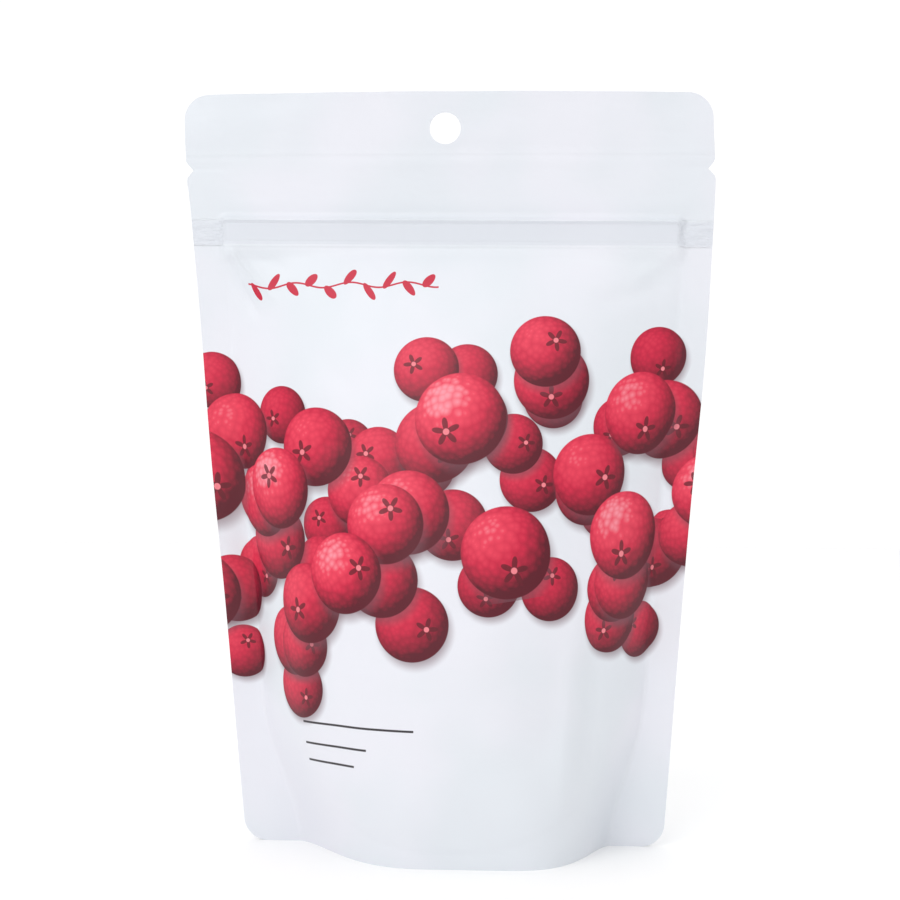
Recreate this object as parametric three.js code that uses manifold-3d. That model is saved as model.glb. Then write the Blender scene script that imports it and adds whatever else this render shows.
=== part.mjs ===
// A filled stand-up pouch of white matte film, heat-sealed all round, with a press-to-close zip,
// tear notches, a round hang hole and a folded bottom gusset. Loose freeze-dried raspberries fill it.
// Millimetres, +Z up. The front faces -Y, and the origin is on the floor, under the middle of the pouch.
import * as THREE from "three";
import { mergeVertices } from "three/addons/utils/BufferGeometryUtils.js";
import Module from "manifold-3d";

const wasm = await Module();
wasm.setup();

// Driving dimensions of the film
const pouchWidth = 140;
const pouchHeight = 198;
const filmThickness = 0.5;
const sealGap = 0.3; // between two films that are welded face to face
const skirtGap = 0.45; // between the gusset and the film that it is welded to
const sealWidth = 8;
const earWidth = 14; // the flat bottom corners, where the front and back film meet
const earHeight = 38;
const cornerRadius = 6.5;

// How the filled pouch bulges
const bellyDepth = 31.5; // from the seal plane to the front of the belly
const shoulderExponent = 0.72; // below 1, so the belly fills out soon under the zip
const footTuck = 0.03; // share of the depth that is lost at the bottom edge
const footTuckHeight = 24;
const sideDraw = 14.9; // how far each side edge is pulled in at the bottom
const drawStart = 176; // height below which the side edges are pulled in
const bottomShift = 1.6; // how far the bottom sits to the right of the top
const lensFullness = 2.3; // exponent of the bulge across the pouch
const bottomFullness = { left: 2.9, right: 6 };
const earExponent = 1.5; // above 1, so the bulge runs out softly into the ears
const headerBow = 3.5; // forward bow of the top edge

// Press-to-close zip, a rib strip inside the front film and a groove strip inside the back film
const zipHeight = 161; // centre line above the floor
const zipBandHalf = 3.2; // half height of the raised band in the film
const zipBandFade = 1.8;
const zipBandBump = 1.7; // how far the film stands out over the engaged profiles
const zipEndInset = 10; // from the side edge to the end of the profiles
const stripHalfHeight = 2.9;
const stripThickness = 0.35;
const stripOffset = 1.15; // from the middle plane to a strip's inner face
const beadRadius = 0.5;
const stemHalf = 0.2;
const profileClearance = 0.25;
const grooveWall = 0.3;
const grooveWebHalf = 0.55;

// Header
const headerStart = zipHeight + zipBandHalf + zipBandFade + 1;
const holeRadius = 4.1;
const holeHeight = 188.5;
const holeShift = -1.2;
const notchHeight = 177.9;
const notchDepth = 1.9;
const notchHalfHeight = 2.2;

// Bottom gusset
const gussetFold = 40; // height of the fold at the side seals
const skirtHeight = 5; // height of the weld above the floor at the middle
const floorFlatHalfLength = 22;
const gussetReach = 0.74; // share of the half width that the opened gusset takes

// Contents
const berryCount = 50;
const berryReach = 10; // radius of the space that one berry takes
const berrySides = 8;
const drupeletRelief = 0.7;
const fillSeed = 7;

const filmMaterial = new THREE.MeshStandardMaterial({ color: 0xeef0f6, roughness: 0.5, metalness: 0 });
const zipMaterial = new THREE.MeshStandardMaterial({ color: 0xe6e9ee, roughness: 0.35, metalness: 0 });
const berryMaterial = new THREE.MeshStandardMaterial({ color: 0xb3203f, roughness: 0.85, metalness: 0 });

const clamp = (value) => Math.min(1, Math.max(0, value));
const smooth = (value) => clamp(value) ** 2 * (3 - 2 * clamp(value));
const mix = (a, b, share) => a + (b - a) * share;
const steps = (a, b, count) => Array.from({ length: count }, (_, i) => a + ((b - a) * i) / count);

// 0 where the side edges start to draw in and 1 at the floor.
const drop = (z) => clamp((drawStart - z) / drawStart);

const centreLine = (z) => bottomShift * drop(z);

const halfWidth = (z) => pouchWidth / 2 - sideDraw * drop(z);

// Half depth of the bulge at the middle of the width.
function depthAt(z) {
  const bulgeTop = zipHeight - zipBandHalf - zipBandFade;
  const belly = Math.sin((Math.PI / 2) * clamp((bulgeTop - z) / bulgeTop) ** shoulderExponent);
  const foot = 1 - footTuck * (1 - smooth(z / footTuckHeight));
  return bellyDepth * belly * foot;
}

// 1 at the middle of the width and 0 in the side seals.
// Low down it turns from a lens into a boat with flat ears.
function bulgeShare(x, z) {
  const low = 1 - smooth(z / earHeight);
  const seal = mix(sealWidth, earWidth, low);
  const across = (x - centreLine(z)) / (halfWidth(z) - seal);
  const fullness = mix(lensFullness, across < 0 ? bottomFullness.left : bottomFullness.right, low);
  return clamp(1 - Math.abs(across) ** fullness) ** mix(1, earExponent, low);
}

// 1 over the zip profiles, falling to 0 in the film around them.
function zipShare(x, z) {
  const up = 1 - smooth((Math.abs(z - zipHeight) - zipBandHalf) / zipBandFade);
  const along = 1 - smooth((Math.abs(x) - (pouchWidth / 2 - zipEndInset)) / 3);
  return up * along;
}

function middleSurface(x, z) {
  const rise = clamp((z - headerStart) / (pouchHeight - headerStart));
  return -headerBow * rise * (1 - ((2 * x) / pouchWidth) ** 2);
}

// Distance of the film's outer face from the middle surface.
const outerOffset = (x, z) =>
  sealGap / 2 + filmThickness + depthAt(z) * bulgeShare(x, z) + zipBandBump * zipShare(x, z);

// Half depth of the space inside the film.
const insideOffset = (x, z) => outerOffset(x, z) - filmThickness;

function solidFrom(geometry) {
  const bare = new THREE.BufferGeometry().setAttribute("position", geometry.getAttribute("position"));
  if (geometry.index) bare.setIndex(geometry.index);
  const merged = mergeVertices(bare, 1e-4);
  return new wasm.Manifold(
    new wasm.Mesh({
      numProp: 3,
      vertProperties: merged.attributes.position.array,
      triVerts: new Uint32Array(merged.index.array),
    }),
  );
}

function geometryFrom(solid) {
  const mesh = solid.getMesh();
  const geometry = new THREE.BufferGeometry();
  geometry.setAttribute("position", new THREE.BufferAttribute(new Float32Array(mesh.vertProperties), 3));
  geometry.setIndex(new THREE.BufferAttribute(new Uint32Array(mesh.triVerts), 1));
  geometry.computeVertexNormals();
  return geometry;
}

function indexedGeometry(points, indices) {
  const geometry = new THREE.BufferGeometry();
  const positions = points.flatMap((p) => [p.x, p.y, p.z]);
  geometry.setAttribute("position", new THREE.Float32BufferAttribute(positions, 3));
  geometry.setIndex(indices);
  geometry.computeVertexNormals();
  return geometry;
}

// A closed sheet between two grids of points. The faces of the first grid look along column x row.
function closedSheet(faceGrid, backGrid) {
  const rows = faceGrid.length;
  const columns = faceGrid[0].length;
  const indices = [];
  const face = (r, c) => r * columns + c;
  const back = (r, c) => (rows + r) * columns + c;
  const quad = (a, b, c, d) => indices.push(a, b, c, a, c, d);
  for (let r = 0; r < rows - 1; r++)
    for (let c = 0; c < columns - 1; c++) {
      quad(face(r, c), face(r, c + 1), face(r + 1, c + 1), face(r + 1, c));
      quad(back(r, c), back(r + 1, c), back(r + 1, c + 1), back(r, c + 1));
    }
  const top = rows - 1;
  const end = columns - 1;
  for (let c = 0; c < end; c++) {
    quad(face(0, c), back(0, c), back(0, c + 1), face(0, c + 1));
    quad(face(top, c), face(top, c + 1), back(top, c + 1), back(top, c));
  }
  for (let r = 0; r < top; r++) {
    quad(face(r, 0), face(r + 1, 0), back(r + 1, 0), back(r, 0));
    quad(face(r, end), back(r, end), back(r + 1, end), face(r + 1, end));
  }
  return indexedGeometry([...faceGrid.flat(), ...backGrid.flat()], indices);
}

// Rows close together over the ears and the zip, far apart in the flat header.
const zipBandReach = zipBandHalf + zipBandFade;
const panelRows = [
  ...steps(0, 48, 9),
  ...steps(48, 130, 7),
  ...steps(130, zipHeight - zipBandReach, 4),
  ...steps(zipHeight - zipBandReach, zipHeight - zipBandHalf, 2),
  zipHeight - zipBandHalf,
  zipHeight + zipBandHalf,
  ...steps(zipHeight + zipBandReach, pouchHeight, 4),
  pouchHeight,
];

// Columns as shares of the half width, closer together beside the side seals.
const halfColumns = [0, 0.12, 0.24, 0.36, 0.48, 0.58, 0.66, 0.73, 0.79, 0.84, 0.885, 1];
const panelColumns = [...halfColumns.slice(1).reverse().map((share) => -share), ...halfColumns];
const gussetColumns = panelColumns.filter((share) => Math.abs(share) < gussetReach);

// A point of the front film (side -1) or the back film (side 1), some way in from its outer face.
function filmPoint(side, share, z, inset) {
  const surface = (x) => middleSurface(x, z) + side * outerOffset(x, z);
  const slopeStep = 0.05;
  const x = centreLine(z) + share * halfWidth(z);
  const slope = (surface(x + slopeStep) - surface(x - slopeStep)) / (2 * slopeStep);
  const inward = new THREE.Vector3(Math.abs(share) === 1 ? 0 : slope, -1, 0).normalize();
  return new THREE.Vector3(x, surface(x), z).addScaledVector(inward, side * inset);
}

function panelSheet(side) {
  const rowAt = (z, inset) => panelColumns.map((share) => filmPoint(side, share, z, inset));
  const outside = panelRows.map((z) => rowAt(z, 0));
  const inside = panelRows.map((z) => rowAt(z, filmThickness));
  return side < 0 ? closedSheet(outside, inside) : closedSheet(inside, outside);
}

// A prism that runs through both films along Y.
function cutterAlongY(shape) {
  const reach = 12;
  const options = { depth: 2 * reach, bevelEnabled: false, curveSegments: 20 };
  const prism = new THREE.ExtrudeGeometry(shape, options);
  prism.rotateX(Math.PI / 2);
  prism.translate(0, reach, 0);
  return solidFrom(prism);
}

// What a square corner loses to its rounding.
// The corner is at (x, z), and outX and outZ point away from the film.
function cornerCutter(x, z, outX, outZ) {
  const margin = 2;
  const arcSteps = 6;
  const centreX = x - outX * cornerRadius;
  const centreZ = z - outZ * cornerRadius;
  const shape = new THREE.Shape();
  shape.moveTo(centreX, z);
  for (let i = 1; i <= arcSteps; i++) {
    const turn = (Math.PI / 2) * (i / arcSteps);
    const across = outX * cornerRadius * Math.sin(turn);
    const up = outZ * cornerRadius * Math.cos(turn);
    shape.lineTo(centreX + across, centreZ + up);
  }
  shape.lineTo(x + outX * margin, centreZ);
  shape.lineTo(x + outX * margin, z + outZ * margin);
  shape.lineTo(centreX, z + outZ * margin);
  shape.closePath();
  return cutterAlongY(shape);
}

function holeCutter() {
  const shape = new THREE.Shape();
  shape.absarc(holeShift, holeHeight, holeRadius, 0, 2 * Math.PI, false);
  return cutterAlongY(shape);
}

function notchCutter(outX) {
  const edge = outX * (pouchWidth / 2);
  const flare = (notchHalfHeight * (notchDepth + 1)) / notchDepth;
  const shape = new THREE.Shape();
  shape.moveTo(edge - outX * notchDepth, notchHeight);
  shape.lineTo(edge + outX, notchHeight + flare);
  shape.lineTo(edge + outX, notchHeight - flare);
  shape.closePath();
  return cutterAlongY(shape);
}

function filmPanel(side) {
  const cutters = [
    cornerCutter(-pouchWidth / 2, pouchHeight, -1, 1),
    cornerCutter(pouchWidth / 2, pouchHeight, 1, 1),
    cornerCutter(centreLine(0) - halfWidth(0), 0, -1, -1),
    cornerCutter(centreLine(0) + halfWidth(0), 0, 1, -1),
    holeCutter(),
    notchCutter(-1),
    notchCutter(1),
  ];
  return geometryFrom(cutters.reduce((film, cutter) => film.subtract(cutter), solidFrom(panelSheet(side))));
}

// Height of the weld between the gusset and the front or back film, an arc that rises towards the side seals.
function weldHeight(share) {
  const out = clamp(Math.abs(share) / (1 - sealWidth / halfWidth(0)));
  return mix(skirtHeight, gussetFold - 1, 1 - Math.sqrt(1 - out ** 2));
}

// Height of the opened gusset over the middle plane: on the floor, then up to the fold at the side seals.
function keelHeight(share) {
  const rising = Math.abs(share) * halfWidth(0) - floorFlatHalfLength;
  return mix(filmThickness, gussetFold, smooth(rising / (halfWidth(0) - floorFlatHalfLength)));
}

// 0 at the weld and 1 over the lowest part of the gusset, by the share of the way from middle to weld.
const sagShare = (across) => smooth((1 - Math.abs(across)) / 0.5);

// The far side of a bent film, by its near side in (y, z), with mitred bends and with feet that stay level.
function undersideOf(section) {
  const under = (a, b) => new THREE.Vector2(b.z - a.z, a.y - b.y).normalize();
  const end = section.length - 1;
  return section.map((point, i) => {
    const before = i > 0 ? under(section[i - 1], point) : new THREE.Vector2(1, 0);
    const after = i < end ? under(point, section[i + 1]) : new THREE.Vector2(-1, 0);
    if (i === 0) after.copy(before);
    if (i === end) before.copy(after);
    const mitre = before.clone().add(after).multiplyScalar(filmThickness / (1 + before.dot(after)));
    return new THREE.Vector3(point.x, point.y + mitre.x, point.z + mitre.y);
  });
}

// The gusset runs up the inside of the front film, across the bottom and down the inside of the back film.
function bottomGusset() {
  const inset = filmThickness + skirtGap;
  const leastDepth = 2.4; // keeps the front and back skirts apart beside the ears
  const footStep = 0.5;
  const floorSteps = 10;
  const sections = gussetColumns.map((share) => {
    let foot = 0;
    while (filmPoint(1, share, foot, inset).y < leastDepth) foot += footStep;
    const weld = Math.max(weldHeight(share), foot + 1);
    const skirt = steps(foot, weld, 3);
    const front = filmPoint(-1, share, weld, inset);
    const back = filmPoint(1, share, weld, inset);
    const floor = [...steps(-1, 1, floorSteps), 1].map((across) => {
      const point = front.clone().lerp(back, (1 + across) / 2);
      return point.setZ(mix(weld, keelHeight(share), sagShare(across)));
    });
    return [
      ...skirt.map((z) => filmPoint(-1, share, z, inset)),
      ...floor,
      ...skirt.toReversed().map((z) => filmPoint(1, share, z, inset)),
    ];
  });
  return geometryFrom(solidFrom(closedSheet(sections.map(undersideOf), sections)));
}

// A zip profile drawn across the zip, in (y, z), and run along X.
function zipStrip(shape) {
  const length = pouchWidth - 2 * zipEndInset - 2;
  const strip = new THREE.ExtrudeGeometry(shape, { depth: length, bevelEnabled: false, curveSegments: 12 });
  const alongX = new THREE.Matrix4().makeBasis(
    new THREE.Vector3(0, 1, 0),
    new THREE.Vector3(0, 0, 1),
    new THREE.Vector3(1, 0, 0),
  );
  strip.applyMatrix4(alongX);
  strip.translate(-length / 2, 0, zipHeight);
  return strip;
}

// A flat strip with a stem and a round bead, which snaps into the groove.
function zipRib() {
  const stemTurn = Math.asin(stemHalf / beadRadius);
  const shape = new THREE.Shape();
  shape.moveTo(-stripOffset - stripThickness, -stripHalfHeight);
  shape.lineTo(-stripOffset, -stripHalfHeight);
  shape.lineTo(-stripOffset, -stemHalf);
  shape.absarc(0, 0, beadRadius, Math.PI + stemTurn, 3 * Math.PI - stemTurn, false);
  shape.lineTo(-stripOffset, stemHalf);
  shape.lineTo(-stripOffset, stripHalfHeight);
  shape.lineTo(-stripOffset - stripThickness, stripHalfHeight);
  shape.closePath();
  return zipStrip(shape);
}

// A flat strip with a C-shaped channel round the bead.
function zipGroove() {
  const inside = beadRadius + profileClearance;
  const outside = inside + grooveWall;
  const lip = Math.PI - Math.asin((stemHalf + profileClearance) / inside);
  const web = Math.asin(grooveWebHalf / outside);
  const shape = new THREE.Shape();
  shape.moveTo(stripOffset + stripThickness, -stripHalfHeight);
  shape.lineTo(stripOffset + stripThickness, stripHalfHeight);
  shape.lineTo(stripOffset, stripHalfHeight);
  shape.lineTo(stripOffset, grooveWebHalf);
  shape.absarc(0, 0, outside, web, lip, false);
  shape.absarc(0, 0, inside, lip, -lip, true);
  shape.absarc(0, 0, outside, -lip, -web, false);
  shape.lineTo(stripOffset, -grooveWebHalf);
  shape.lineTo(stripOffset, -stripHalfHeight);
  shape.closePath();
  return zipStrip(shape);
}

// A seeded source of numbers from 0 to 1.
function randomSource(seed) {
  let state = seed;
  return () => {
    state = (state + 0x6d2b79f5) | 0;
    let mixed = Math.imul(state ^ (state >>> 15), 1 | state);
    mixed = (mixed + Math.imul(mixed ^ (mixed >>> 7), 61 | mixed)) ^ mixed;
    return ((mixed ^ (mixed >>> 14)) >>> 0) / 4294967296;
  };
}

// A hollow berry, tip up, about its own middle. Neighbouring vertices stand out and in, as its drupelets do.
function berryGeometry() {
  const outerRings = [
    { r: 5.2, z: 6.9 },
    { r: 7.9, z: 2.6 },
    { r: 8.2, z: -2.4 },
    { r: 6.1, z: -6.6 },
  ];
  const rings = [...outerRings, { r: 3.6, z: -7.2 }];
  const points = [new THREE.Vector3(0, 0, 9)];
  rings.forEach(({ r, z }, ring) => {
    for (let i = 0; i < berrySides; i++) {
      const turn = (2 * Math.PI * i) / berrySides;
      const relief = ring < outerRings.length ? drupeletRelief * ((i + ring) % 2 ? -1 : 1) : 0;
      points.push(new THREE.Vector3((r + relief) * Math.cos(turn), (r + relief) * Math.sin(turn), z));
    }
  });
  points.push(new THREE.Vector3(0, 0, 1.5));
  const at = (ring, i) => 1 + ring * berrySides + (i % berrySides);
  const indices = [];
  for (let i = 0; i < berrySides; i++) {
    indices.push(0, at(0, i), at(0, i + 1));
    for (let ring = 0; ring < rings.length - 1; ring++) {
      indices.push(at(ring, i), at(ring + 1, i), at(ring + 1, i + 1));
      indices.push(at(ring, i), at(ring + 1, i + 1), at(ring, i + 1));
    }
    indices.push(points.length - 1, at(rings.length - 1, i + 1), at(rings.length - 1, i));
  }
  return indexedGeometry(points, indices);
}

// Height of the gusset's upper side at a place inside the pouch.
function gussetTop(x, y) {
  const share = (x - centreLine(0)) / halfWidth(0);
  const weld = weldHeight(share);
  return mix(weld, keelHeight(share), sagShare(y / insideOffset(x, weld)));
}

// The lowest place for a ball's centre over the gusset, tested below its middle and around it.
function restHeight(x, y) {
  const around = 0.7 * berryReach; // how far from the middle the eight other points lie
  const heights = [gussetTop(x, y) + berryReach];
  for (let i = 0; i < 8; i++) {
    const turn = (Math.PI / 4) * i;
    const top = gussetTop(x + around * Math.cos(turn), y + around * Math.sin(turn));
    heights.push(top + Math.sqrt(berryReach ** 2 - around ** 2));
  }
  return Math.max(...heights);
}

// Where the berries lie: balls dropped into the pouch, pushed away from each other and the film.
function settledBerries(random) {
  const wallMargin = 1;
  const settleSteps = 1100;
  const fallSteps = 600;
  const balls = Array.from({ length: berryCount }, (_, i) =>
    new THREE.Vector3(mix(-34, 34, random()), mix(-8, 8, random()), 14 + i * 2.2),
  );
  const pushFromWalls = (ball) => {
    const slopeStep = 0.2;
    const wall = insideOffset(ball.x, ball.z);
    const across = (insideOffset(ball.x + slopeStep, ball.z) - wall) / slopeStep;
    const along = (insideOffset(ball.x, ball.z + slopeStep) - wall) / slopeStep;
    const steepness = Math.hypot(across, 1, along);
    const room = (wall - wallMargin - Math.abs(ball.y)) / steepness - berryReach;
    if (room < 0) {
      ball.x += (-room * across) / steepness;
      ball.y += (room * Math.sign(ball.y)) / steepness;
      ball.z += (-room * along) / steepness;
    }
    ball.z = Math.max(ball.z, restHeight(ball.x, ball.y) + wallMargin);
  };
  const pushApart = (a, b) => {
    const between = b.clone().sub(a);
    const overlap = 2 * berryReach - between.length();
    if (overlap <= 0) return;
    between.setLength(overlap / 2);
    a.sub(between);
    b.add(between);
  };
  for (let step = 0; step < settleSteps; step++) {
    if (step < fallSteps) balls.forEach((ball) => (ball.z -= 0.3));
    balls.forEach((a, i) => balls.slice(i + 1).forEach((b) => pushApart(a, b)));
    balls.forEach(pushFromWalls);
  }
  return balls;
}

const pouch = new THREE.Group();

function addPiece(name, geometry, material) {
  const piece = new THREE.Mesh(geometry, material);
  piece.name = name;
  pouch.add(piece);
  return piece;
}

addPiece("front_film", filmPanel(-1), filmMaterial);
addPiece("back_film", filmPanel(1), filmMaterial);
addPiece("bottom_gusset", bottomGusset(), filmMaterial);
addPiece("zip_rib_strip", zipRib(), zipMaterial);
addPiece("zip_groove_strip", zipGroove(), zipMaterial);

const random = randomSource(fillSeed);
settledBerries(random).forEach((place, i) => {
  const berry = addPiece(`raspberry_${String(i + 1).padStart(2, "0")}`, berryGeometry(), berryMaterial);
  berry.position.copy(place);
  berry.rotation.set(2 * Math.PI * random(), Math.PI * random(), 2 * Math.PI * random());
});

export default pouch;
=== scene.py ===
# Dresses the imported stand-up pouch: thin welded films with relief and print, the zip and the dried berries.
import math
import bpy
import numpy as np
from mathutils import Matrix, Vector


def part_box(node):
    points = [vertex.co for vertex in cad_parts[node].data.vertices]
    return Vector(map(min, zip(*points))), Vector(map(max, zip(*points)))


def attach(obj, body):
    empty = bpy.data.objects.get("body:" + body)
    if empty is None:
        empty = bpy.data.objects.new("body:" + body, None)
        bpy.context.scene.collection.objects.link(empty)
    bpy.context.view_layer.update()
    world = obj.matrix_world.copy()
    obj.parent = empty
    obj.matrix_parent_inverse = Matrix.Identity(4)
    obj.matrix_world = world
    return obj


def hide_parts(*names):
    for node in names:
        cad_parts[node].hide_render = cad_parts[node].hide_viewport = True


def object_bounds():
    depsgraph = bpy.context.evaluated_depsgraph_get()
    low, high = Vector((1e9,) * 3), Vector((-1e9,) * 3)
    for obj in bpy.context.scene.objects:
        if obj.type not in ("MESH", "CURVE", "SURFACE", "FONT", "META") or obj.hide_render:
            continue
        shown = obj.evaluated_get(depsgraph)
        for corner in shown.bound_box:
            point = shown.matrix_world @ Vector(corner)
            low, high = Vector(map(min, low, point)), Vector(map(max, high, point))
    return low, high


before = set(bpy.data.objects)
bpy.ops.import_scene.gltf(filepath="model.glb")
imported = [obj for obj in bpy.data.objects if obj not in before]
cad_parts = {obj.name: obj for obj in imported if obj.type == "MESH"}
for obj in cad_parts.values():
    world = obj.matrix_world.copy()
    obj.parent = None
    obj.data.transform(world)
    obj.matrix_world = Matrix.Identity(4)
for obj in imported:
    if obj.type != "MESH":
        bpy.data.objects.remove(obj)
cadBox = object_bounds()
berryNames = sorted(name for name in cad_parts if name.startswith("raspberry"))
print("frame loaded,", len(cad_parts), "nodes")

mm = 0.001


class Wire:
    # A value socket that can be used in sums, and adds its Math nodes.
    def __init__(self, graph, socket):
        self.graph = graph
        self.socket = socket

    def maths(self, operation, *others, swap=False):
        values = [self, *others]
        if swap:
            values.reverse()
        return self.graph.put("ShaderNodeMath", dict(enumerate(values)), operation=operation)

    def __add__(self, other): return self.maths("ADD", other)
    def __radd__(self, other): return self.maths("ADD", other)
    def __sub__(self, other): return self.maths("SUBTRACT", other)
    def __rsub__(self, other): return self.maths("SUBTRACT", other, swap=True)
    def __mul__(self, other): return self.maths("MULTIPLY", other)
    def __rmul__(self, other): return self.maths("MULTIPLY", other)
    def __truediv__(self, other): return self.maths("DIVIDE", other)
    def __neg__(self): return self.maths("MULTIPLY", -1.0)
    def __abs__(self): return self.maths("ABSOLUTE")
    def __pow__(self, other): return self.maths("POWER", other)
    def __mod__(self, other): return self.maths("FLOORED_MODULO", other)

    def most(self, other): return self.maths("MAXIMUM", other)

    def step(self, start, end):
        # Rises softly from 0 at start to 1 at end.
        inputs = {"Value": self, "From Min": start, "From Max": end, "To Min": 0.0, "To Max": 1.0}
        return self.graph.put("ShaderNodeMapRange", inputs, interpolation_type="SMOOTHSTEP")

    def within(self, low, high, soft=0.08):
        # 1 between low and high, with soft edges.
        return self.step(low - soft, low + soft) * (1.0 - self.step(high - soft, high + soft))


class Graph:
    # Makes and links the nodes of one tree: a material's, the world's or a Geometry Nodes tree.
    def __init__(self, tree):
        self.tree = tree
        tree.nodes.clear()

    def put(self, kind, inputs=None, out=0, stops=None, **settings):
        node = self.tree.nodes.new(kind)
        for key, value in settings.items():
            setattr(node, key, value)
        if stops:
            ramp = node.color_ramp
            while len(ramp.elements) < len(stops):
                ramp.elements.new(0.5)
            for element, (place, colour) in zip(ramp.elements, stops):
                element.position = place
                element.color = (*colour, 1)
        for key, value in (inputs or {}).items():
            if isinstance(value, Wire):
                self.tree.links.new(value.socket, node.inputs[key])
            else:
                node.inputs[key].default_value = value
        return Wire(self, node.outputs[out]) if node.outputs else None

    def vector(self, operation, *values):
        return self.put("ShaderNodeVectorMath", dict(enumerate(values)), operation=operation)

    def parts(self, vector):
        node = self.put("ShaderNodeSeparateXYZ", {0: vector}).socket.node
        return [Wire(self, socket) for socket in node.outputs]

    def mixColour(self, share, a, b):
        def padded(colour):
            return colour if isinstance(colour, Wire) else (*colour, 1)
        return self.put("ShaderNodeMix", {0: share, 6: padded(a), 7: padded(b)}, out=2, data_type="RGBA")

    def noise(self, place, scale, detail=2.0):
        inputs = {"Vector": place, "Scale": scale, "Detail": detail, "Roughness": 0.5}
        return self.put("ShaderNodeTexNoise", inputs)

    def finish(self, colour, roughness, height=None, strength=0.2, distance=0.0002, **plain):
        inputs = {"Base Color": colour, "Roughness": roughness, **plain}
        if height is not None:
            bump = {"Height": height, "Strength": strength, "Distance": distance}
            inputs["Normal"] = self.put("ShaderNodeBump", bump)
        surface = self.put("ShaderNodeBsdfPrincipled", inputs)
        self.put("ShaderNodeOutputMaterial", {"Surface": surface})


def newMaterial(name):
    material = bpy.data.materials.new(name)
    material.use_nodes = True
    return material, Graph(material.node_tree)


def clamp(value):
    return np.clip(value, 0, 1)


def smooth(value):
    return clamp(value) ** 2 * (3 - 2 * clamp(value))


def blendTo(a, b, share):
    return a + (b - a) * share


def hump(value, centre, half):
    return 1 - smooth(np.abs(value - centre) / half)


def bell(value, centre, half):
    return np.exp(-((value - centre) / half) ** 2)


def waves(x, z, count, longest, seed):
    # Soft unevenness from a few waves in seeded directions, about -1 to 1.
    draw = np.random.default_rng(seed)
    total = np.zeros(np.broadcast(x, z).shape)
    for _ in range(count):
        turn = draw.uniform(0, 2 * math.pi)
        length = longest * draw.uniform(0.35, 1)
        phase = draw.uniform(0, 2 * math.pi)
        total += np.sin(2 * math.pi * (x * math.cos(turn) + z * math.sin(turn)) / length + phase)
    return total / math.sqrt(count / 2) / 2


# Outline, in millimetres, close to the plain model's. Width and height come from the frame.
pouch = {
    "width": (cadBox[1][0] - cadBox[0][0]) / mm,
    "height": (cadBox[1][2] - cadBox[0][2]) / mm,
    "topRadius": 6.5,
    "bottomRadius": 5.6,
    "sideDraw": 14.9,  # how far each side edge is pulled in at the bottom
    "drawStart": 176,  # height below which the side edges are pulled in
    "bottomShift": 1.6,  # how far the bottom sits to the right of the top
}

header = {
    "start": 167,
    "bow": 3.5,  # how far the middle of the top edge comes forward
    "holeX": -1.2,
    "holeZ": 188.5,
    "holeRadius": 4.1,
    "notchZ": 177.9,
    "notchDepth": 1.9,
    "notchHalf": 2.2,
    "sealZ": 181.5,  # lower edge of the top seal
}

# How the filled pouch stands: how far it moves sideways, and between which heights.
stance = {
    "lean": 1.0,  # of the top, to the left
    "leanStart": 165,
    "leanReach": 33,
    "shift": 0.4,  # of the middle, to the right
    "shiftMiddle": 135,
    "shiftHalf": 45,
    "widen": 0.5,  # of both sides, outwards
    "widenMiddle": 122,
    "widenHalf": 60,
    "widenX": 60,
}


def drop(z):
    return clamp((pouch["drawStart"] - z) / pouch["drawStart"])


def centreLine(z):
    return pouch["bottomShift"] * drop(z)


def halfWidth(z):
    return pouch["width"] / 2 - pouch["sideDraw"] * drop(z)


def cornerLoss(into, radius):
    # What a rounded corner takes off the half width, into being how far z is into the corner.
    return radius * (1 - np.sqrt(1 - clamp(into / radius) ** 2))


def outlineHalf(z):
    notch = header["notchDepth"] * clamp(1 - np.abs(z - header["notchZ"]) / header["notchHalf"])
    top = cornerLoss(z - pouch["height"] + pouch["topRadius"], pouch["topRadius"])
    bottom = cornerLoss(pouch["bottomRadius"] - z, pouch["bottomRadius"])
    return halfWidth(z) - notch - top - bottom


def sway(x, z):
    lean = -stance["lean"] * smooth((z - stance["leanStart"]) / stance["leanReach"])
    shift = stance["shift"] * hump(z, stance["shiftMiddle"], stance["shiftHalf"])
    widen = stance["widen"] * hump(z, stance["widenMiddle"], stance["widenHalf"])
    return lean + shift + widen * np.clip(x / stance["widenX"], -1, 1)


def columnX(share, z):
    # Only the outer columns follow the rounded corners and the notches.
    kept = 0.8
    inner = np.abs(share) * halfWidth(z)
    outer = blendTo(kept * halfWidth(z), outlineHalf(z), (np.abs(share) - kept) / (1 - kept))
    return centreLine(z) + np.sign(share) * np.where(np.abs(share) < kept, inner, outer)


# The bulge over the contents
belly = {
    "depth": 31.5,
    "topGap": 0.3,  # from the zip band down to where the belly starts
    "shoulder": 0.72,  # below 1, so it fills out soon under the zip
    "footTuck": 0.012,
    "footTuckHeight": 24,
    "sealWidth": 8,
    "earWidth": 14,  # the flat bottom corners
    "earHeight": 38,
    "earSoftness": 1.85,  # how softly the belly runs out into the bottom corners
    "fullness": 2.3,
    "bottomLeft": 3.3,
    "bottomRight": 6.2,
}

zipBand = {
    "height": 161,
    "half": 3.1,
    "fall": 0.006,  # how much lower it lies for each millimetre to the right
    "swell": 1.55,  # how far the film stands out over the closed profiles
    "hang": 0.5,  # how much more it stands out higher up the band
    "lip": 0.35,  # the ridge along the band's top edge
    "fade": 2.4,  # how far up the header most of the swell dies out
    "farShare": 0.12,  # what is left of it there
    "farFade": 9,
    "foot": 5.5,  # how far down the belly the swell reaches
    "footFade": 4,
    "reach": 59.5,  # half length, where the ends start to die out
    "endFade": 2.5,
}


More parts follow.
